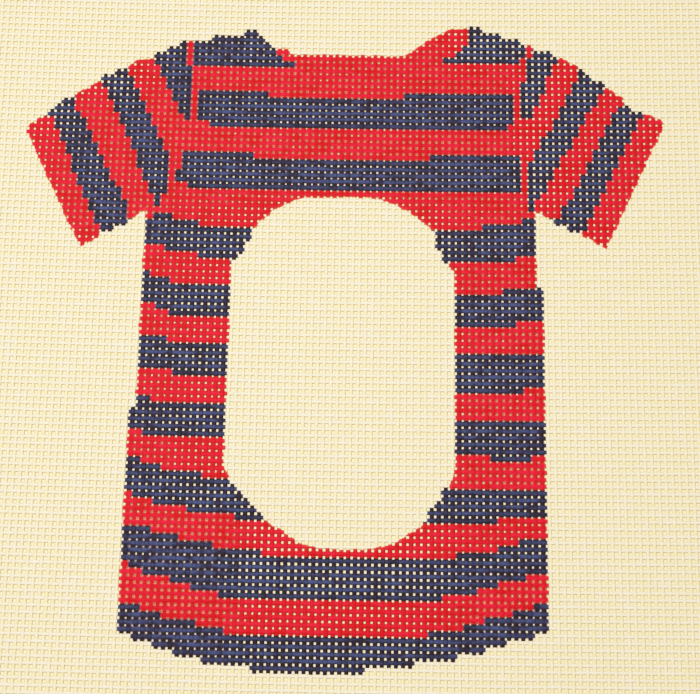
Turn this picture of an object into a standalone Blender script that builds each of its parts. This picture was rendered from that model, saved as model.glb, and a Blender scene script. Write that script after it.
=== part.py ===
# Needlepoint canvas panel: one cut length of stiffened open-weave cotton canvas, lying flat.
# Metres, +Z up. The origin is at the middle of the underside, +X to the right of the
# painted figure and +Y towards its neck.

import bpy

MM = 0.001
INCH = 25.4 * MM

# Driving dimensions
MESH_COUNT = 13                      # threads in an inch, across and along
WARP_THREADS = 136                   # threads that run up the panel, along Y
WEFT_THREADS = 138                   # threads that run across it, along X
CUT_MARGIN = 0.75                    # cut edge beyond the outermost thread's middle, in threads
SHEET_THICKNESS = 1.0 * MM           # one flattened thread over another
TOP_BOW = 1.8 * MM                   # the weft's sag from the sides to the middle, at the top edge
BOTTOM_BOW = 0.7 * MM                # the same at the bottom edge
BOW_STEPS = 16                       # straight steps along a bowed edge

CREAM = (0.93, 0.87, 0.73, 1.0)      # natural cotton with its size
CANVAS_ROUGHNESS = 0.85

PITCH = INCH / MESH_COUNT
HALF_WIDTH = ((WARP_THREADS - 1) / 2 + CUT_MARGIN) * PITCH
HALF_HEIGHT = ((WEFT_THREADS - 1) / 2 + CUT_MARGIN) * PITCH


def clear_scene():
    for item in list(bpy.data.objects):
        bpy.data.objects.remove(item, do_unlink=True)


def canvas_material():
    material = bpy.data.materials.new("canvas_cotton")
    material.use_nodes = True
    shader = material.node_tree.nodes["Principled BSDF"]
    shader.inputs["Base Color"].default_value = CREAM
    shader.inputs["Roughness"].default_value = CANVAS_ROUGHNESS
    shader.inputs["Metallic"].default_value = 0.0
    material.diffuse_color = CREAM
    return material


def bowed_edge(side, bow):
    """Points along a weft-wise edge from left to right; its middle sags below its two ends."""
    points = []
    for step in range(BOW_STEPS + 1):
        across = 2 * step / BOW_STEPS - 1
        points.append((across * HALF_WIDTH, side * HALF_HEIGHT + bow * (across ** 2 - 0.5)))
    return points


def panel_outline():
    """The cut edge, once round: the bottom left to right, then the top right to left."""
    bottom = bowed_edge(-1, BOTTOM_BOW)
    top = bowed_edge(1, TOP_BOW)
    return bottom + top[::-1]


def flat_sheet(name, outline, thickness, material):
    """A closed flat sheet of this outline, its underside on the surface at z = 0."""
    middle_y = (min(y for _, y in outline) + max(y for _, y in outline)) / 2
    curve = bpy.data.curves.new(name, "CURVE")
    curve.dimensions = "2D"
    curve.fill_mode = "BOTH"
    curve.extrude = thickness / 2
    spline = curve.splines.new("POLY")
    spline.points.add(len(outline) - 1)
    for point, (x, y) in zip(spline.points, outline):
        point.co = (x, y - middle_y, 0.0, 1.0)
    spline.use_cyclic_u = True
    curve.materials.append(material)
    sheet = bpy.data.objects.new(name, curve)
    sheet.location = (0.0, 0.0, thickness / 2)
    return sheet


def build():
    clear_scene()
    collection = bpy.data.collections.new("needlepoint_canvas_panel")
    bpy.context.scene.collection.children.link(collection)
    sheet = flat_sheet("canvas_panel", panel_outline(), SHEET_THICKNESS, canvas_material())
    collection.objects.link(sheet)


build()
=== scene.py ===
# Needlepoint canvas panel: every thread of the open weave, the painted figure and a plain studio.
# The figure is charted in threads: x to the right and y up from the middle hole of the panel.
import math

import bpy
import numpy as np
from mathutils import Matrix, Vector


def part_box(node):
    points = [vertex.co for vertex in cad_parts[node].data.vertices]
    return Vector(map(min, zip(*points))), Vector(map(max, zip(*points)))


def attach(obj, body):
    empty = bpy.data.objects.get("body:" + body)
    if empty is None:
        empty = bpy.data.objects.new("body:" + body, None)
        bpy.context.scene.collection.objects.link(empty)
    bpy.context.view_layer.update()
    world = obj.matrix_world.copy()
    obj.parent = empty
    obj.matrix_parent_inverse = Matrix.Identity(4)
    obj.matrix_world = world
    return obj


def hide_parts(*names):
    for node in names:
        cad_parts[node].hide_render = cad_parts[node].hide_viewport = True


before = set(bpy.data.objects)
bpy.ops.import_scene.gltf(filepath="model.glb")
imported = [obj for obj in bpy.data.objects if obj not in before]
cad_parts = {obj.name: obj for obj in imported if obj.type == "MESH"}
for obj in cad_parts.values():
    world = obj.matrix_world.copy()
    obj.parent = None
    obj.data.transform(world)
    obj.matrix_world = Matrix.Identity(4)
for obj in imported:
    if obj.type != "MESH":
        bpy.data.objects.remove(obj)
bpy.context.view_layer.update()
panelLow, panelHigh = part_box("canvas_panel")

cloth = {
    "warpThreads": 136,  # threads that run up the panel
    "weftThreads": 138,  # threads that run across it
    "cutMargin": 0.75,  # cut edge past the outermost thread's middle, in threads
    "topBow": 0.0018,  # sag of the weft from the sides to the middle, at the top edge
    "bottomBow": 0.0007,
    "depth": 0.75,  # share of the sheet's thickness that the threads take up
}
panelWidth = panelHigh[0] - panelLow[0]
weaveDepth = (panelHigh[2] - panelLow[2]) * cloth["depth"]
pitch = panelWidth / (cloth["warpThreads"] - 1 + 2 * cloth["cutMargin"])
halfHeight = (cloth["weftThreads"] - 1 + 2 * cloth["cutMargin"]) * pitch / 2
print(f"canvas: pitch {pitch * 1000:.3f} mm, threads {weaveDepth * 1000:.2f} mm deep")


def displayColour(red, green, blue):  # 0 to 255 on the screen, to a linear colour
    linear = []
    for value in (red, green, blue):
        share = value / 255
        linear.append(share / 12.92 if share <= 0.04045 else ((share + 0.055) / 1.055) ** 2.4)
    return (*linear, 1.0)


class Wire:  # an output socket; a sum written with it becomes Math nodes
    def __init__(self, graph, socket):
        self.graph = graph
        self.socket = socket

    def beside(self, name):  # another output of the same node
        return Wire(self.graph, self.socket.node.outputs[name])

    def maths(self, operation, *values):
        return self.graph.add("ShaderNodeMath", {"operation": operation}, dict(enumerate(values)))

    def __add__(self, other):
        return self.maths("ADD", self, other)

    def __radd__(self, other):
        return self.maths("ADD", other, self)

    def __sub__(self, other):
        return self.maths("SUBTRACT", self, other)

    def __rsub__(self, other):
        return self.maths("SUBTRACT", other, self)

    def __mul__(self, other):
        return self.maths("MULTIPLY", self, other)

    def __rmul__(self, other):
        return self.maths("MULTIPLY", other, self)

    def __truediv__(self, other):
        return self.maths("DIVIDE", self, other)

    def floor(self):
        return self.maths("FLOOR", self)

    def remainder(self, divisor):
        return self.maths("FLOORED_MODULO", self, divisor)

    def sine(self):
        return self.maths("SINE", self)

    def absolute(self):
        return self.maths("ABSOLUTE", self)

    def below(self, limit):
        return self.maths("LESS_THAN", self, limit)

    def above(self, limit):
        return self.maths("GREATER_THAN", self, limit)


class Graph:  # a node tree that is being written
    def __init__(self, tree):
        self.tree = tree

    def add(self, kind, settings=None, sockets=None, output=0):
        node = self.tree.nodes.new(kind)
        for name, value in (settings or {}).items():
            setattr(node, name, value)
        for name, value in (sockets or {}).items():
            if isinstance(value, Wire):
                self.tree.links.new(value.socket, node.inputs[name])
            else:
                node.inputs[name].default_value = value
        return Wire(self, node.outputs[output]) if node.outputs else None

    def step(self, value, ramp):  # smoothly from 0 to 1 over this ramp
        sockets = {"Value": value, "From Min": ramp[0], "From Max": ramp[1]}
        return self.add("ShaderNodeMapRange", {"interpolation_type": "SMOOTHSTEP"}, sockets)

    def blend(self, factor, first, second):
        sockets = {0: factor, 6: first, 7: second}  # the factor and the two colours
        return self.add("ShaderNodeMix", {"data_type": "RGBA"}, sockets, output=2)


thread = {
    "warpWidth": 0.53,  # across the flattened thread, in pitches
    "weftWidth": 0.5,
    "warpRise": 0.45,  # how far a float lifts, as a share of the room for it
    "weftRise": 0.4,
    "height": 0.46,  # a thread's thickness, as a share of the depth
    "warpFloatHalf": 0.08,  # half of the level part of a float, in pitches
    "weftFloatHalf": 0.2,
    "wander": 0.07,  # slow sideways wobble, in pitches
    "wanderStep": 0.09,  # how much of the wobble's noise one crossing takes up
    "wanderApart": 3.7,  # how far apart in that noise two neighbours are
    "jitter": 0.018,  # sideways wobble from crossing to crossing
    "swell": 0.09,  # change in thickness along the thread
    "endScatter": 0.35,  # how unevenly the ends are cut, in pitches
    "endFlat": 0.7,  # how much less a loose end lifts
    "seed": 11,
}

bandSplit = (0, 46, 91)  # the first thread of each third
highestRise = max(thread["warpRise"], thread["weftRise"])
fullHeight = thread["height"] * (1 + thread["swell"])
halfDepth = (fullHeight + (1 - thread["height"]) * highestRise) / 2
middleHeight = weaveDepth * halfDepth  # so that the lowest threads lie on the surface below


def threadWidth(runsAcross):  # in pitches
    return thread["weftWidth" if runsAcross else "warpWidth"]


def threadTree():
    tree = bpy.data.node_groups.new("wovenThreads", "GeometryNodeTree")
    tree.interface.new_socket(name="Threads Out", in_out="OUTPUT", socket_type="NodeSocketGeometry")
    kinds = {
        "Threads": "Int",
        "First Thread": "Int",
        "Thread Total": "Int",
        "Crossings": "Int",
        "Runs Across": "Float",
        "Pitch": "Float",
        "Thread Width": "Float",
        "Thread Height": "Float",
        "Weave Depth": "Float",
        "Middle Height": "Float",
        "Rise": "Float",
        "Float Half": "Float",
        "Wander": "Float",
        "Jitter": "Float",
        "Swell": "Float",
        "End Scatter": "Float",
        "Half Width": "Float",
        "Half Height": "Float",
        "Top Bow": "Float",
        "Bottom Bow": "Float",
        "Seed": "Int",
        "Material": "Material",
    }
    for name, kind in kinds.items():
        tree.interface.new_socket(name=name, in_out="INPUT", socket_type="NodeSocket" + kind)
    graph = Graph(tree)
    entry = graph.add("NodeGroupInput")
    given = {name: entry.beside(name) for name in kinds}

    # one straight line with two rings a crossing, then a copy for each thread
    ringCount = given["Crossings"] * 2 + 2
    sockets = {"Curve": graph.add("GeometryNodeCurvePrimitiveLine"), "Count": ringCount}
    line = graph.add("GeometryNodeResampleCurve", {"mode": "COUNT"}, sockets)
    sockets = {"Geometry": line, "Amount": given["Threads"]}
    lines = graph.add("GeometryNodeDuplicateElements", {"domain": "SPLINE"}, sockets)
    copy = graph.add("GeometryNodeCurveOfPoint", output="Curve Index")
    threadNumber = copy + given["First Thread"]
    ring = copy.beside("Index in Curve")

    def chance(span, salt, ident):
        sockets = {"ID": ident, "Seed": given["Seed"] + salt}
        value = graph.add("FunctionNodeRandomValue", {"data_type": "FLOAT"}, sockets, output=1)
        return (value * 2 - 1) * span

    crossing = ((ring - 1) / 2).floor()
    farSide = ring - 1 - crossing * 2
    along = crossing + (farSide * 2 - 1) * given["Float Half"]
    startEnd = ring.below(0.5)
    tailEnd = ring.above(ringCount - 1.5)
    along = along + startEnd * chance(given["End Scatter"], 1, threadNumber)
    along = along + tailEnd * chance(given["End Scatter"], 2, threadNumber)
    alongPlace = along - (given["Crossings"] - 1) / 2

    spot = {
        "X": alongPlace * thread["wanderStep"],
        "Y": threadNumber * thread["wanderApart"],
        "Z": given["Seed"],
    }
    spot = graph.add("ShaderNodeCombineXYZ", None, spot)
    drift = graph.add("ShaderNodeTexNoise", None, {"Vector": spot, "Scale": 1.0, "Detail": 1.0})
    crossingIdent = threadNumber * 997 + crossing  # a number that no other crossing has
    sideways = (drift - 0.5) * 2 * given["Wander"] + chance(given["Jitter"], 3, crossingIdent)
    acrossPlace = threadNumber - (given["Thread Total"] - 1) / 2 + sideways

    # the plain weave: over one, under one, and the other way on the next thread
    parity = (crossing + threadNumber + given["Runs Across"]).remainder(2)
    loose = startEnd + tailEnd
    room = (given["Weave Depth"] - given["Thread Height"]) / 2
    lift = room * given["Rise"] * (1 - loose * thread["endFlat"])
    z = given["Middle Height"] + lift * (parity * 2 - 1)

    runsAcross = given["Runs Across"]
    columns = acrossPlace + (alongPlace - acrossPlace) * runsAcross
    rows = alongPlace + (acrossPlace - alongPlace) * runsAcross
    x = columns * given["Pitch"]
    level = rows * given["Pitch"]
    topShare = (level / given["Half Height"] + 1) / 2
    bow = given["Bottom Bow"] + (given["Top Bow"] - given["Bottom Bow"]) * topShare
    outward = x / given["Half Width"]
    y = level + bow * (outward * outward - 0.5) - (given["Top Bow"] - given["Bottom Bow"]) / 4
    position = graph.add("ShaderNodeCombineXYZ", None, {"X": x, "Y": y, "Z": z})

    path = graph.add("GeometryNodeSetPosition", None, {"Geometry": lines, "Position": position})
    onPoints = {"data_type": "FLOAT", "domain": "POINT"}
    kept = {"threadNumber": threadNumber, "crossing": crossing, "farSide": farSide, "along": along}
    for name, value in kept.items():
        sockets = {"Geometry": path, "Name": name, "Value": value}
        path = graph.add("GeometryNodeStoreNamedAttribute", onPoints, sockets)
    ringIdent = threadNumber * 991 + ring
    swell = 1 + chance(given["Swell"], 4, ringIdent) * 0.5 + (drift - 0.5) * given["Swell"]
    path = graph.add("GeometryNodeSetCurveNormal", {"mode": "Z_UP"}, {"Curve": path})

    # the flattened six-sided section, with a corner at each side
    section = graph.add("GeometryNodeCurvePrimitiveCircle", None, {"Resolution": 6, "Radius": 0.5})
    corner = graph.add("GeometryNodeInputIndex")
    sockets = {"Geometry": section, "Name": "corner", "Value": corner}
    section = graph.add("GeometryNodeStoreNamedAttribute", onPoints, sockets)
    flatHeight = given["Thread Height"] / math.sin(math.pi / 3)
    sockets = {"X": given["Thread Width"], "Y": flatHeight, "Z": 1.0}
    flatness = graph.add("ShaderNodeCombineXYZ", None, sockets)
    section = graph.add("GeometryNodeTransform", None, {"Geometry": section, "Scale": flatness})
    sockets = {"Curve": path, "Profile Curve": section, "Scale": swell, "Fill Caps": True}
    tubes = graph.add("GeometryNodeCurveToMesh", None, sockets)
    tubes = graph.add("GeometryNodeSetShadeSmooth", None, {"Geometry": tubes, "Shade Smooth": True})
    tubes = graph.add("GeometryNodeRealizeInstances", None, {"Geometry": tubes})
    sockets = {"Geometry": tubes, "Material": given["Material"]}
    tubes = graph.add("GeometryNodeSetMaterial", None, sockets)
    graph.add("NodeGroupOutput", None, {"Threads Out": tubes})
    return tree


def threadCounts(runsAcross):  # threads of this kind, and the crossings along each of them
    counts = (cloth["warpThreads"], cloth["weftThreads"])
    return counts[::-1] if runsAcross else counts


def wovenBand(name, tree, runsAcross, band, material):
    total, crossings = threadCounts(runsAcross)
    first = bandSplit[band]
    last = bandSplit[band + 1] if band + 1 < len(bandSplit) else total
    values = {
        "Threads": last - first,
        "First Thread": first,
        "Thread Total": total,
        "Crossings": crossings,
        "Runs Across": float(runsAcross),
        "Pitch": pitch,
        "Thread Width": threadWidth(runsAcross) * pitch,
        "Thread Height": thread["height"] * weaveDepth,
        "Weave Depth": weaveDepth,
        "Middle Height": middleHeight,
        "Rise": thread["weftRise" if runsAcross else "warpRise"],
        "Float Half": thread["weftFloatHalf" if runsAcross else "warpFloatHalf"],
        "Wander": thread["wander"],
        "Jitter": thread["jitter"],
        "Swell": thread["swell"],
        "End Scatter": thread["endScatter"],
        "Half Width": panelWidth / 2,
        "Half Height": halfHeight,
        "Top Bow": cloth["topBow"],
        "Bottom Bow": cloth["bottomBow"],
        "Seed": thread["seed"] + 50 * runsAcross,
        "Material": material,
    }
    carrier = bpy.data.objects.new(name + "_carrier", bpy.data.meshes.new(name + "_carrier"))
    bpy.context.scene.collection.objects.link(carrier)
    modifier = carrier.modifiers.new("weave", "NODES")
    modifier.node_group = tree
    for socket in tree.interface.items_tree:
        if socket.in_out == "INPUT":
            modifier[socket.identifier] = values[socket.name]
    made = carrier.evaluated_get(bpy.context.evaluated_depsgraph_get())
    mesh = bpy.data.meshes.new_from_object(made)
    bpy.data.objects.remove(carrier, do_unlink=True)
    mesh.name = name
    piece = bpy.data.objects.new(name, mesh)
    bpy.context.scene.collection.objects.link(piece)
    return piece, last - first


# the painted figure, a striped short-sleeved top round a blank window
garment = {
    "topLine": (  # shoulders and neck from left to right: x, y
        (-49.2, 30.9), (-48.7, 31.6), (-46.6, 33), (-45.5, 33.9), (-43.5, 35.6), (-42, 36.5),
        (-40, 37.9), (-38.4, 38.8), (-37.5, 39.7), (-35.5, 40.8), (-34.5, 41.2), (-33.5, 41.9),
        (-32.2, 42.6), (-30.4, 42.9), (-29.5, 43.7), (-27.5, 44.8), (-25.5, 45.8), (-21.2, 46.1),
        (-20.8, 46.9), (-16.2, 47), (-15.8, 47.9), (-14.2, 47.9), (-13.5, 47), (-12.5, 46),
        (-11.2, 45), (-9.3, 45), (-9, 44), (9, 44), (10.5, 44.8), (12.2, 46.1), (14.3, 47.5),
        (16.4, 48.5), (18.9, 48.9), (20.8, 48.8), (21.2, 48), (23.8, 47.9), (24.2, 47), (26.8, 46.9),
        (27.2, 46.1), (29, 46), (29.1, 45), (31.9, 45), (32.6, 44.2), (33.6, 43.9), (35.5, 42.6),
        (36.7, 41.9), (36.9, 41.1), (38.5, 40.1), (40.2, 39.1), (41.5, 38.2), (42.6, 37.4),
        (42.8, 36.3), (44.5, 35.4), (46, 34.8), (47.3, 34.3), (48.5, 33.7), (49, 33),
    ),
    "rightSleeve": ((39.7, 13.5), (29, 19.3)),  # end of the cuff, then the underarm
    "rightSide": ((29, 7), (30, 7), (30, -60)),
    "leftSide": ((-31, -60), (-31, -12), (-30, -12)),
    "leftSleeve": ((-30.1, 18.6), (-39.8, 12.5)),
    # the stepped hem: from this far out of the middle, y
    "leftHem": ((0, -49), (12, -48), (19, -47), (23, -46), (26, -45), (29, -44)),
    "rightHem": ((0, -49), (4, -48), (11, -47), (17, -46), (21, -45), (24, -44), (28, -43)),
}

window = (  # its rim, once round from the top: x, y
    (0, 21.2), (4, 21.1), (5.6, 20.9), (6.6, 20.4), (8.3, 19.9), (9.5, 19.2), (11.2, 18.1),
    (12.7, 17), (13.7, 16.3), (14.2, 15), (14.4, 13.5), (15, 12.5), (15.4, 11.5), (16.2, 10.6),
    (16.9, 9.5), (17, 8), (17, -20), (16.7, -22), (15.4, -23.5), (15, -24.5), (14.3, -25.5),
    (13.3, -26.5), (12.7, -27.7), (11.7, -28.9), (10, -29.9), (7.5, -31.2), (5, -31.9), (0, -32.1),
    (-3, -31.9), (-5, -31.5), (-6.5, -30.7), (-8, -29.6), (-10, -28.4), (-11.2, -27.5),
    (-12.3, -26.5), (-13.2, -25.5), (-14.3, -24.5), (-15.1, -23.5), (-15.7, -22.3), (-16.6, -21),
    (-17, -19.4), (-17, 9.5), (-16.7, 10.5), (-15.9, 11.5), (-15.2, 12.5), (-14.8, 13.5),
    (-14.3, 14.5), (-13.8, 15.7), (-13.3, 16.7), (-12.4, 17.4), (-11.5, 18.3), (-10.2, 19.3),
    (-9, 19.9), (-7.4, 20.6), (-6, 20.95), (-4, 21.1),
)

navyBlocks = (  # left, right, bottom, top
    (-23, -12, 37, 38), (9, 26, 37, 38), (-23, 26, 33, 37), (-21, 25, 32, 33),  # upper chest bar
    (-25, -14, 27, 28), (13, 27, 27, 28), (-25, 27, 25, 27),  # lower chest bar
    (-26, 27, 23, 25), (-24, 27, 22, 23),
    (-24, -8, 42, 43), (-24, -10, 43, 44), (-24, -11, 44, 45),  # left shoulder
    (-24, -12, 45, 46), (-24, -13, 46, 50),
    (15, 27, 43, 44), (17, 28, 44, 45), (18, 28, 45, 46), (19, 28, 46, 50),  # right shoulder
    (-29, -28, 19, 21),  # last stitches of a sleeve stripe
)

sideStripes = (  # beside the window: from this far out of the middle, y of the top and the bottom
    {
        "side": -1,
        "top": ((0, 16), (22, 17), (26, 18), (29, 17)),
        "bottom": ((0, 11), (22, 12), (27, 13)),
    },
    {"side": -1, "top": ((0, 7), (26, 8), (29, 9)), "bottom": ((0, 2), (26, 3), (28, 4))},
    {"side": -1, "top": ((0, -2), (26, -1)), "bottom": ((0, -7), (25, -6))},
    {"side": -1, "top": ((0, -11), (28, -10)), "bottom": ((0, -16), (29, -15))},
    {
        "side": -1,
        "top": ((0, -22), (20, -21), (26, -20), (29, -19)),
        "bottom": ((0, -28), (15, -27), (22, -26), (27, -25), (30, -24)),
    },
    {"side": 1, "top": ((0, 16), (21, 17), (27, 18)), "bottom": ((0, 11), (26, 12))},
    {"side": 1, "top": ((0, 6), (24, 7)), "bottom": ((0, 1), (26, 2))},
    {"side": 1, "top": ((0, -3),), "bottom": ((0, -9), (27, -8))},
    {"side": 1, "top": ((0, -13),), "bottom": ((0, -18), (22, -19), (28, -18))},
    {"side": 1, "top": ((0, -23),), "bottom": ((0, -28), (23, -27))},
)

hemStripes = (  # right across below the window, stepped up towards both sides
    {
        "side": -1,
        "top": ((0, -33), (11, -32), (18, -31), (23, -30), (27, -29)),
        "bottom": ((0, -39), (17, -38), (21, -37), (24, -36), (28, -35), (30, -34)),
    },
    {
        "side": 1,
        "top": ((0, -33), (17, -32), (23, -31), (26, -30)),
        "bottom": ((0, -39), (15, -38), (20, -37), (23, -36), (27, -35)),
    },
    {
        "side": -1,
        "top": ((0, -44), (16, -43), (20, -42), (25, -41), (28, -40)),
        "bottom": ((0, -60),),
    },
    {
        "side": 1,
        "top": ((0, -44), (13, -43), (18, -42), (21, -41), (25, -40), (28, -39)),
        "bottom": ((0, -60),),
    },
)

# slanting: side, outer and inner edge from top to bottom, lowest row, how near the middle they come
sleeveStripes = (
    (-1, ((-46, 33.7), (-37, 15.3)), ((-41.5, 34.5), (-33.3, 19.3)), 10, 33),
    (-1, ((-38, 39.5), (-29.9, 22)), ((-33.9, 40.5), (-27.4, 27.5)), 21, 27),
    (-1, ((-29.6, 42.5), (-25, 33.5)), ((0, 50), (0, 30)), 33, 24),
    (1, ((46.2, 35.5), (36.2, 15.5)), ((42, 35.5), (32.4, 17.5)), 10, 31),
    (1, ((39.2, 37.5), (30, 21.5)), ((35.9, 40.5), (28.3, 26.5)), 19, 28),
    (1, ((32.7, 43.5), (28.8, 34.5)), ((0, 50), (0, 30)), 34, 27),
)

redStitches = ((-25, -24, 42, 50), (27, 28, 40, 44), (28, 29, 44, 50))  # red lines cut into the navy
figureTop = 50  # above every stripe
figureSide = 31.5  # and beyond the side edges of the body


def stepAt(distance, table):  # height of a stepped edge this far from the middle
    starts = np.array([start for start, height in table])
    heights = np.array([height for start, height in table])
    return heights[np.clip(np.searchsorted(starts, distance, side="right") - 1, 0, None)]


def leftOf(x, y, line):  # whether a place is to the left of a line through its two points
    (ax, ay), (bx, by) = line
    return x < ax + (y - ay) * (bx - ax) / (by - ay)


def insideBlock(x, y, block):
    left, right, bottom, top = block
    return (x > left) & (x < right) & (y > bottom) & (y < top)


def outlineDistance(x, y, outline):  # positive inside a closed outline, in threads
    nearest = np.full(x.shape, 1e9)
    inside = np.zeros(x.shape, bool)
    for (ax, ay), (bx, by) in zip(outline, outline[1:] + outline[:1]):
        dx = bx - ax
        dy = by - ay
        share = np.clip(((x - ax) * dx + (y - ay) * dy) / (dx * dx + dy * dy), 0, 1)
        nearest = np.minimum(nearest, np.hypot(x - ax - share * dx, y - ay - share * dy))
        if dy:
            inside ^= ((y < ay) != (y < by)) & (x < ax + (y - ay) * dx / dy)
    return np.where(inside, nearest, -nearest)


outlineParts = ("topLine", "rightSleeve", "rightSide", "leftSide", "leftSleeve")
figureOutline = sum((garment[part] for part in outlineParts), ())


def figureDistance(x, y):
    return np.minimum(outlineDistance(x, y, figureOutline), -outlineDistance(x, y, window))


def navyThere(x, y):
    found = np.zeros(x.shape, bool)
    for side, outer, inner, low, near in sleeveStripes:
        slant = leftOf(x, y, outer) != leftOf(x, y, inner)
        found |= slant & (x * side > near) & (y > low) & (y < figureTop)
    for block in redStitches:
        found &= ~insideBlock(x, y, block)
    for block in navyBlocks:
        found |= insideBlock(x, y, block)
    for stripe in sideStripes + hemStripes:
        outward = x * stripe["side"]
        between = (y < stepAt(outward, stripe["top"])) & (y > stepAt(outward, stripe["bottom"]))
        found |= between & (outward > 0) & (outward < figureSide)
    return found


def neighbours(cells):  # the cells above, below, right and left of each, as four arrays
    return [np.roll(cells, shift, axis) for axis in (0, 1) for shift in (-1, 1)]


# the chart, one value for each crossing: rows from the bottom, columns from the left
columnPlace = np.arange(cloth["warpThreads"]) - (cloth["warpThreads"] - 1) / 2
rowPlace = np.arange(cloth["weftThreads"]) - (cloth["weftThreads"] - 1) / 2
cellX, cellY = np.meshgrid(columnPlace, rowPlace)
leftHem = stepAt(-cellX, garment["leftHem"])
rightHem = stepAt(cellX, garment["rightHem"])
cellBelow = cellY < np.where(cellX < 0, leftHem, rightHem)
cellPainted = (figureDistance(cellX, cellY) > 0) & ~cellBelow
cellNavy = navyThere(cellX, cellY)
shown = cellNavy & cellPainted
cellRim = shown & ~np.logical_and.reduce(neighbours(shown))  # navy at a stripe's edge, painted darker
cellBeside = np.logical_or.reduce(neighbours(shown)) & ~cellPainted
cellBlue = cellNavy | cellBeside  # with the blank crossings that a navy one runs on into
print(f"chart: {cellPainted.sum()} painted crossings, {shown.sum()} of them navy")

paintLoad = {
    "redFilm": 0.045,  # how much a painted thread widens at each side, in pitches
    "navyFilm": 0.035,
    "redFill": 0.14,  # how much further it closes a hole, at most
    "navyFill": 0.092,
    "least": 0.3,  # share of that everywhere on the figure
    "leastChance": 0.6,  # the rest of the share of a hole's closing is left to chance
    "patches": (  # left, right, bottom, top of the places with more of it, and how much more
        (-27, 26, 20, 42, 0.8), (8, 24, 20, 36, 0.15),  # chest
        (-26, -8, 42, 52, 0.85), (-8, 15, 42, 52, 0.65),  # left shoulder and neck
        (-42, -28, 14, 36, 0.75), (-50, -41, 17, 30, 0.5), (-32, -24, 28, 44, 0.4),  # left sleeve
        (33, 50, 16, 40, 0.3), (40, 50, 17, 28, 0.2),  # right sleeve
        (-34, -24, -24, 18, 0.25), (-34, -16, -24, 20, 0.3), (17, 34, -24, 19, 0.75),  # window's sides
        (-34, -15, -52, -26, 1.15), (15, 34, -52, -24, 0.5),  # hem
        (18, 34, -52, -34, 0.5), (-16, 16, -52, -38, 0.2),
    ),
    "patchEdge": 5,  # how softly a patch ends, in threads
    "crownShare": 0.35,  # share of the widening that the level top and underside take part in
    "skinFull": 0.22,  # widening at which the thin skin of paint along a hole is palest
    "reach": 0.25,  # how far the colour runs on along a thread, in pitches
    "reachScatter": 0.15,
    "blankStop": 0.24,  # how firmly navy stops before a blank crossing
    "reachAcross": 0.7,  # share of a thread's width that the figure's outline is followed over
    "seed": 23,
}


def holeClosing():  # how far paint closes each hole, 0 to 1
    x = cellX + 0.5
    y = cellY + 0.5
    load = np.full(x.shape, paintLoad["least"])
    for left, right, bottom, top, amount in paintLoad["patches"]:
        depth = np.minimum(np.minimum(x - left, right - x), np.minimum(y - bottom, top - y))
        load += amount * np.clip(depth / paintLoad["patchEdge"] + 0.5, 0, 1)
    chance = np.random.default_rng(paintLoad["seed"]).random(x.shape)
    return load * (paintLoad["leastChance"] + (1 - paintLoad["leastChance"]) * chance)


closing = holeClosing()


def attributeValues(mesh, name):
    values = np.empty(len(mesh.vertices), np.float32)
    mesh.attributes[name].data.foreach_get("value", values)
    return values


def storeValues(mesh, name, values):
    layer = mesh.attributes.new(name, "FLOAT", "POINT")
    layer.data.foreach_set("value", np.ascontiguousarray(values, np.float32))


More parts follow.
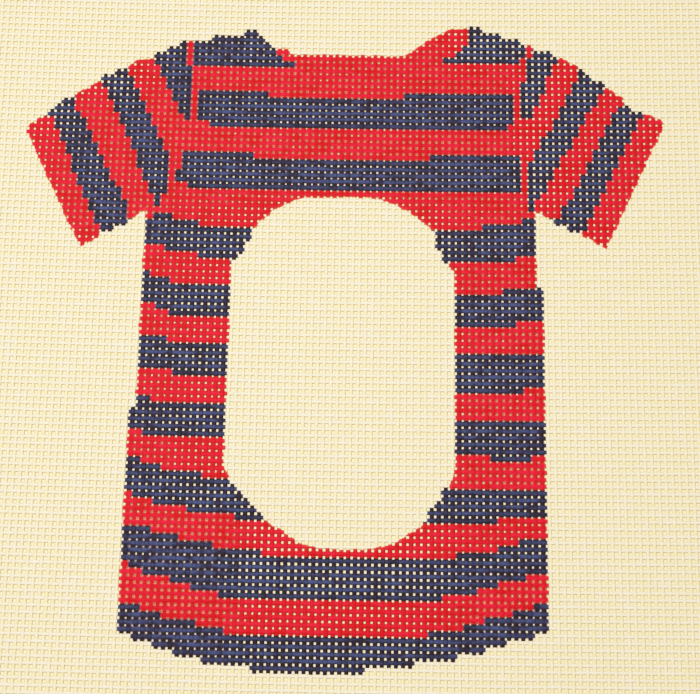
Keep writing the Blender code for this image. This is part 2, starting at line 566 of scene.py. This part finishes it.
def paintThreads(mesh, runsAcross, number, crossing, along, farSide, corner):
    total, crossings = threadCounts(runsAcross)
    places = np.empty(len(mesh.vertices) * 3, np.float32)
    mesh.vertices.foreach_get("co", places)
    rings = places.reshape(-1, 6, 3)
    centre = rings.mean(axis=1, keepdims=True)
    side = 1 if runsAcross else 0
    offset = (rings - centre)[:, :, side].ravel()  # from the middle of the vertex's own ring

    # the chart's place, crossing and hole of each vertex
    threadPlace = number - (total - 1) / 2 + offset / pitch * paintLoad["reachAcross"]
    alongPlace = along - (crossings - 1) / 2
    threadIndex = np.rint(number).astype(int)
    crossingIndex = np.clip(np.rint(crossing).astype(int), 0, crossings - 1)
    holeBesideThread = threadIndex - (offset < 0)
    holeAlongThread = np.rint(crossing + farSide - 1).astype(int)
    if runsAcross:
        x, y = alongPlace, threadPlace
        row, column = threadIndex, crossingIndex
        holeRow, holeColumn = holeBesideThread, holeAlongThread
    else:
        x, y = threadPlace, alongPlace
        row, column = crossingIndex, threadIndex
        holeRow, holeColumn = holeAlongThread, holeBesideThread

    wobble = np.random.default_rng(paintLoad["seed"] + 1 + runsAcross).uniform(-1, 1, total)
    scatter = wobble[threadIndex] * paintLoad["reachScatter"]
    smooth = np.clip(figureDistance(x, y) + paintLoad["reach"] + scatter, -1, 1)
    smooth = np.where(cellBelow[row, column], -1.0, smooth)
    stepped = np.where(cellPainted[row, column], 1.0, scatter - paintLoad["blankStop"])
    figure = np.where(cellBlue[row, column], stepped, smooth)
    navy = np.where(cellBlue[row, column], 1.0, -1.0)

    # paint thickens the threads and closes the holes unevenly
    holeRow = np.clip(holeRow, 0, cloth["weftThreads"] - 1)
    holeColumn = np.clip(holeColumn, 0, cloth["warpThreads"] - 1)
    fill = np.where(navy > 0, paintLoad["navyFill"], paintLoad["redFill"])
    film = np.where(navy > 0, paintLoad["navyFilm"], paintLoad["redFilm"])
    thick = fill * closing[holeRow, holeColumn] + film
    flank = np.where(corner % 3 == 0, 1.0, 0.0)
    takesPart = paintLoad["crownShare"] + (1 - paintLoad["crownShare"]) * flank
    share = np.clip(figure * 2, 0, 1) * takesPart
    widen = 1 + share * thick / (threadWidth(runsAcross) / 2)
    rings[:, :, side] = centre[:, :, side] + (offset * widen).reshape(-1, 6)
    mesh.vertices.foreach_set("co", rings.ravel())

    storeValues(mesh, "figure", figure)
    storeValues(mesh, "navy", navy)
    storeValues(mesh, "rim", np.where(cellRim[row, column], 1.0, 0.0))
    storeValues(mesh, "upright", np.full(figure.shape, 0.0 if runsAcross else 1.0))
    storeValues(mesh, "skin", flank * np.clip(thick / paintLoad["skinFull"], 0, 1))


bakeMap = {  # where each thread lies in its strip of the map that a finish is baked on
    "sideMargin": 0.06,  # in strips
    "endMargin": 0.02,
    "capMiddle": 0.009,  # the cut ends lie in the end margins
    "capHalfHeight": 0.007,
    "capHalfWidth": 0.35,  # in strips
}


def mapThreads(mesh, band, threadCount, number, crossing, along, corner):
    loopVertex = np.empty(len(mesh.loops), np.int32)
    mesh.loops.foreach_get("vertex_index", loopVertex)
    faceStart = np.empty(len(mesh.polygons), np.int32)
    mesh.polygons.foreach_get("loop_start", faceStart)
    faceSize = np.diff(np.append(faceStart, len(loopVertex)))
    faceOfLoop = np.repeat(np.arange(len(faceStart)), faceSize)
    isCap = (faceSize > 4)[faceOfLoop]
    loopCorner = corner[loopVertex].astype(float)
    highest = np.maximum.reduceat(loopCorner, faceStart)[faceOfLoop]
    loopCorner[(loopCorner == 0) & (highest == 5) & ~isCap] = 6  # the last side closes the round
    loopAlong = along[loopVertex]
    winding = np.stack([loopCorner / 6, loopAlong], 1)

    lowest = min(along.min(), 0)
    share = (loopAlong - lowest) / (along.max() - lowest)
    strip = 1 / threadCount
    stripStart = number[loopVertex] - bandSplit[band]
    across = bakeMap["sideMargin"] + (1 - 2 * bakeMap["sideMargin"]) * loopCorner / 6
    angle = loopCorner * math.pi / 3
    capAcross = 0.5 + bakeMap["capHalfWidth"] * np.cos(angle)
    capSide = np.where(crossing[loopVertex] < 0, bakeMap["capMiddle"], 1 - bakeMap["capMiddle"])
    u = (stripStart + np.where(isCap, capAcross, across)) * strip
    v = bakeMap["endMargin"] + (1 - 2 * bakeMap["endMargin"]) * share
    v = np.where(isCap, capSide + bakeMap["capHalfHeight"] * np.sin(angle), v)
    for name, values in {"threadWinding": winding, "OFBake": np.stack([u, v], 1)}.items():
        layer = mesh.uv_layers.new(name=name, do_init=False)
        layer.uv.foreach_set("vector", np.ascontiguousarray(values, np.float32).ravel())
    mesh.uv_layers.active = mesh.uv_layers["OFBake"]


def finishBand(piece, runsAcross, band, threadCount):
    mesh = piece.data
    number = attributeValues(mesh, "threadNumber")
    crossing = attributeValues(mesh, "crossing")
    along = attributeValues(mesh, "along")
    farSide = attributeValues(mesh, "farSide")
    corner = np.rint(attributeValues(mesh, "corner")).astype(int) % 6
    paintThreads(mesh, runsAcross, number, crossing, along, farSide, corner)
    mapThreads(mesh, band, threadCount, number, crossing, along, corner)
    for name in ("threadNumber", "crossing", "farSide", "along", "corner"):
        mesh.attributes.remove(mesh.attributes[name])


paint = {
    "cotton": displayColour(239, 221, 194),
    "cottonShade": displayColour(244, 219, 143),  # painted shade: yellower low between the threads
    "cottonPale": displayColour(243, 232, 216),
    "cottonSideLight": displayColour(247, 233, 172),  # painted light: light that comes through a thread at its sides
    "red": displayColour(214, 14, 41),
    "redDeep": displayColour(187, 1, 10),
    "redThin": displayColour(220, 70, 48),
    "redInside": displayColour(234, 62, 44),  # thin paint down in the holes
    "redSkin": displayColour(255, 172, 142),  # and where it spans them, pale: partly thin paint, partly painted light from the floor through it
    "navy": displayColour(40, 40, 67),
    "navyLight": displayColour(52, 60, 99),
    "navyDark": displayColour(20, 8, 10),
    "navyInside": displayColour(54, 42, 54),
    # pale where navy spans a hole: partly thin paint, partly painted light from the floor through it
    "navySkin": displayColour(194, 164, 184),
    "warpShade": 0.85,  # how strongly the painted shade falls on a warp thread between two wefts
    "cottonRoughness": 0.85,
    "paintRoughness": 0.6,
    "gloss": 0.08,  # specular level of both
    "bleed": 0.55,  # share of the paint that is missing on the underside
    # how strongly one colour shows over another, 0 to 1
    "sideLightShows": 0.7,
    "slubShows": 0.4,
    "redBetweenShade": 0.9,  # painted shade: deep red on the warp between two wefts
    "redHollow": 0.8,  # thin paint low down
    "redEdge": 0.35,
    "navyStreak": 0.45,
    "navyRim": 0.35,
    # painted shade: dark navy on the warp between two wefts
    "navyBetweenShade": 0.85,
    "mottleBetweenShade": 0.1,  # and less of the lighter navy there, also painted shade
    "navyHollow": 0.7,
    "wornShows": 0.2,  # cotton where the paint is rubbed
    # ramps: the value at which something starts and the one at which it is full
    "lowRamp": (0.25, 0.67),  # height over which a place stops being low, as a share of the depth
    "betweenRamp": (0.12, 0.36),  # how far along from a crossing's middle, in pitches
    "skinRun": (0.2, 0.34),  # the same for the skin of paint
    "skinRamp": (0.25, 0.9),
    "figureRamp": (-0.06, 0.08),  # in from the painted figure's edge, in threads
    "coreRamp": (0.05, 0.45),  # and on to where the paint is no longer thin
    "navyRamp": (-0.12, 0.12),
    "sideRamp": (0.5, 0.95),  # how far round a thread, from its crown to its side
    "slubRamp": (0.45, 0.75),
    "redRamp": (0.36, 0.60),
    "navyLightRamp": (0.37, 0.60),
    "streakRamp": (0.50, 0.32),
    "wornRamp": (0.68, 0.82),
    "underRamp": (-0.6, -0.1),  # how far up a face looks, from the underside to the sides
    "bleedRamp": (0.3, 0.6),
    "plyRamp": (0.2, -1.0),
    # how much a noise moves an edge or changes the roughness
    "figureFray": 0.24,
    "navyFray": 0.5,
    "roughnessScatter": 0.12,
    # the scale of a noise, or its scale along each of the three axes
    "frayScale": 2600,
    "wornScale": 1900,
    "bleedScale": 900,
    "fibreScale": 5200,
    "slubStretch": (180, 420, 180),
    "patchStretch": (70, 140, 70),
    "streakStretch": (230, 620, 230),
    "streakShare": 0.6,  # of the mottle, and the rest is patches
    # relief
    "plies": 3,
    "twist": 2.2,  # turns of the plies in a pitch
    "plyRelief": 0.6,
    "fibreRelief": 0.9,
    "plyShade": 0.05,
    "reliefStrength": 0.35,
    "reliefDepth": 0.00006,
}


def paintedCotton():
    material = bpy.data.materials.new("paintedCotton")
    material.use_nodes = True
    tree = material.node_tree
    tree.nodes.clear()
    graph = Graph(tree)
    place = graph.add("ShaderNodeTexCoord", output="Object")
    height = graph.add("ShaderNodeSeparateXYZ", None, {"Vector": place}, output="Z")

    def noise(scale, detail, vector=place):
        sockets = {"Vector": vector, "Scale": scale, "Detail": detail}
        return graph.add("ShaderNodeTexNoise", None, sockets)

    def stretchedNoise(stretch, detail):
        sockets = {"Vector": place, "Scale": stretch}
        return noise(1.0, detail, graph.add("ShaderNodeMapping", {"vector_type": "POINT"}, sockets))

    def attribute(name):
        return graph.add("ShaderNodeAttribute", {"attribute_name": name}, output="Fac")

    # where the paint is, with a ragged edge
    fray = noise(paint["frayScale"], 2)
    figure = attribute("figure") + (fray - 0.5) * paint["figureFray"]
    figureMask = graph.step(figure, paint["figureRamp"])
    figureCore = graph.step(figure, paint["coreRamp"])
    navyMask = graph.step(attribute("navy") + (fray - 0.5) * paint["navyFray"], paint["navyRamp"])

    # where on its thread a place is
    low = 1 - graph.step(height / weaveDepth, paint["lowRamp"])
    winding = graph.add("ShaderNodeUVMap", {"uv_map": "threadWinding"})
    turn = graph.add("ShaderNodeSeparateXYZ", None, {"Vector": winding}, output="X")
    run = turn.beside("Y")
    fromCrossing = ((run + 0.5).remainder(1) - 0.5).absolute()
    # the warp between two wefts, which takes painted shade
    between = attribute("upright") * graph.step(fromCrossing, paint["betweenRamp"])
    sidelong = (turn * 2 * math.pi + math.pi / 2).sine().absolute()

    # plain cotton, with painted shade yellower down between the threads and painted light at the sides
    # of each thread
    # painted shade: yellow low down and on the warp between two wefts
    deep = low + (1 - low) * between * paint["warpShade"]
    cotton = graph.blend(deep, paint["cotton"], paint["cottonShade"])
    # painted light at the sides of each thread
    sides = graph.step(sidelong, paint["sideRamp"]) * paint["sideLightShows"]
    cotton = graph.blend(sides, cotton, paint["cottonSideLight"])
    slub = graph.step(stretchedNoise(paint["slubStretch"], 3), paint["slubRamp"])
    cotton = graph.blend(slub * paint["slubShows"], cotton, paint["cottonPale"])

    # brushed colour: patches, and streaks along the weft, with painted shade on the warp between two
    # wefts
    patches = stretchedNoise(paint["patchStretch"], 3)
    streaks = stretchedNoise(paint["streakStretch"], 2)
    mottle = patches * (1 - paint["streakShare"]) + streaks * paint["streakShare"]
    red = graph.blend(graph.step(mottle, paint["redRamp"]), paint["redDeep"], paint["red"])
    red = graph.blend(between * paint["redBetweenShade"], red, paint["redDeep"])
    red = graph.blend(low * paint["redHollow"], red, paint["redInside"])
    red = graph.blend((1 - figureCore) * paint["redEdge"], red, paint["redThin"])
    lighter = graph.step(mottle - between * paint["mottleBetweenShade"], paint["navyLightRamp"])
    blue = graph.blend(lighter, paint["navy"], paint["navyLight"])
    streak = graph.step(streaks, paint["streakRamp"]) * paint["navyStreak"]
    blue = graph.blend(streak, blue, paint["navyDark"])
    blue = graph.blend(attribute("rim") * paint["navyRim"], blue, paint["navyDark"])
    blue = graph.blend(between * paint["navyBetweenShade"], blue, paint["navyDark"])
    blue = graph.blend(low * paint["navyHollow"], blue, paint["navyInside"])
    # a pale skin of paint across the holes: partly thin paint, partly painted light from the floor
    # through it
    skin = graph.step(attribute("skin"), paint["skinRamp"])
    skin = skin * graph.step(fromCrossing, paint["skinRun"])
    red = graph.blend(skin, red, paint["redSkin"])
    blue = graph.blend(skin, blue, paint["navySkin"])

    # rubbed through in places, and thin on the underside
    worn = graph.step(noise(paint["wornScale"], 3), paint["wornRamp"]) * paint["wornShows"]
    facing = graph.add("ShaderNodeNewGeometry", output="Normal")
    upward = graph.add("ShaderNodeSeparateXYZ", None, {"Vector": facing}, output="Z")
    under = 1 - graph.step(upward, paint["underRamp"])
    bleed = graph.step(noise(paint["bleedScale"], 2), paint["bleedRamp"])
    missing = under * paint["bleed"] * bleed
    painted = figureMask * (1 - worn) * (1 - missing)
    colour = graph.blend(painted, cotton, graph.blend(navyMask, red, blue))

    # plies twisted together, with loose fibres
    plies = ((turn * paint["plies"] + run * paint["twist"]) * (2 * math.pi)).sine()
    fibres = noise(paint["fibreScale"], 2)
    relief = {
        "Height": plies * paint["plyRelief"] + fibres * paint["fibreRelief"],
        "Strength": paint["reliefStrength"],
        "Distance": paint["reliefDepth"],
    }
    bump = graph.add("ShaderNodeBump", None, relief)
    # painted shade in the grooves between the plies
    shade = 1 - graph.step(plies, paint["plyRamp"]) * paint["plyShade"]
    tone = graph.add("ShaderNodeCombineXYZ", None, {"X": shade, "Y": shade, "Z": shade})
    colour = graph.add("ShaderNodeVectorMath", {"operation": "MULTIPLY"}, {0: colour, 1: tone})

    rough = paint["cottonRoughness"] + painted * (paint["paintRoughness"] - paint["cottonRoughness"])
    rough = rough + (fibres - 0.5) * paint["roughnessScatter"]
    finish = {
        "Base Color": colour,
        "Roughness": rough,
        "Normal": bump,
        "Specular IOR Level": paint["gloss"],
    }
    shader = graph.add("ShaderNodeBsdfPrincipled", None, finish)
    graph.add("ShaderNodeOutputMaterial", None, {"Surface": shader})
    return material


studio = {
    "lens": 54.0,
    "camera": (0.00408, -0.05873, 0.30054),
    "turn": (10.111, 0.136, 0.948),  # degrees
    "floor": displayColour(247, 228, 188),
    "floorSize": 6.0,
    "floorGap": 0.00005,  # below the panel's underside
    "floorRoughness": 0.9,
    "keySize": 0.9,
    "keyPlace": (-0.35, 1.1, 1.95),
    "keyPower": 4.7,
    "fillSize": 0.25,
    "fillPlace": (-0.09, 0.05, 0.45),
    "fillPower": 1.45,
    "sky": 0.38,
    "skyColour": (1.0, 0.95, 0.79, 1.0),  # warm, as light that cotton has scattered
    "shoulder": 1.8,  # how strongly the bright tones are drawn together
    "shoulderSteps": 9,
}


def flatMaterial(name, colour, roughness):
    material = bpy.data.materials.new(name)
    material.use_nodes = True
    shader = material.node_tree.nodes["Principled BSDF"]
    shader.inputs["Base Color"].default_value = colour
    shader.inputs["Roughness"].default_value = roughness
    return material


def softenHighlights(view):  # a camera's shoulder, which draws the bright tones together
    k = studio["shoulder"]
    view.use_curve_mapping = True
    points = view.curve_mapping.curves[3].points
    steps = studio["shoulderSteps"]
    for step in range(1, steps):
        x = (step / steps) ** 2
        points.new(x, (1 - math.exp(-k * x)) / (1 - math.exp(-k)))
    view.curve_mapping.update()


def buildStudio():
    scene = bpy.context.scene
    bpy.ops.mesh.primitive_plane_add(size=studio["floorSize"], location=(0, 0, -studio["floorGap"]))
    floor = bpy.context.object
    floor.name = "studio_floor"
    floor.data.materials.append(flatMaterial("studioFloor", studio["floor"], studio["floorRoughness"]))

    for name in ("key", "fill"):
        lamp = bpy.data.lights.new(name, "AREA")
        lamp.shape = "SQUARE"
        lamp.size = studio[name + "Size"]
        lamp.energy = studio[name + "Power"]
        holder = bpy.data.objects.new(name, lamp)
        holder.location = studio[name + "Place"]
        holder.rotation_euler = holder.location.to_track_quat("Z", "Y").to_euler()
        scene.collection.objects.link(holder)

    world = bpy.data.worlds.new("studioSky")
    world.use_nodes = True
    background = world.node_tree.nodes["Background"]
    background.inputs["Color"].default_value = studio["skyColour"]
    background.inputs["Strength"].default_value = studio["sky"]
    scene.world = world
    scene.view_settings.view_transform = "Standard"
    softenHighlights(scene.view_settings)

    lens = bpy.data.cameras.new("camera")
    lens.lens = studio["lens"]
    lens.sensor_width = 36.0
    lens.clip_start = 0.01
    camera = bpy.data.objects.new("camera", lens)
    camera.location = studio["camera"]
    camera.rotation_euler = [math.radians(angle) for angle in studio["turn"]]
    scene.collection.objects.link(camera)
    scene.camera = camera


material = paintedCotton()
tree = threadTree()
bands = {
    "warp_threads": (False, ("left", "middle", "right")),
    "weft_threads": (True, ("lower", "middle", "upper")),
}
for stem, (runsAcross, places) in bands.items():
    for band, place in enumerate(places):
        piece, threadCount = wovenBand(f"{stem}_{place}", tree, runsAcross, band, material)
        finishBand(piece, runsAcross, band, threadCount)
        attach(piece, "root")
        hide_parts("canvas_panel")
        across = threadCount * pitch
        length = panelWidth if runsAcross else 2 * halfHeight
        covered = threadCount * length * pitch * threadWidth(runsAcross)
        print(f"{piece.name}: {threadCount} threads, {len(piece.data.polygons)} faces")
bpy.data.node_groups.remove(tree)
buildStudio()
print("studio: floor, key light, sky and camera")
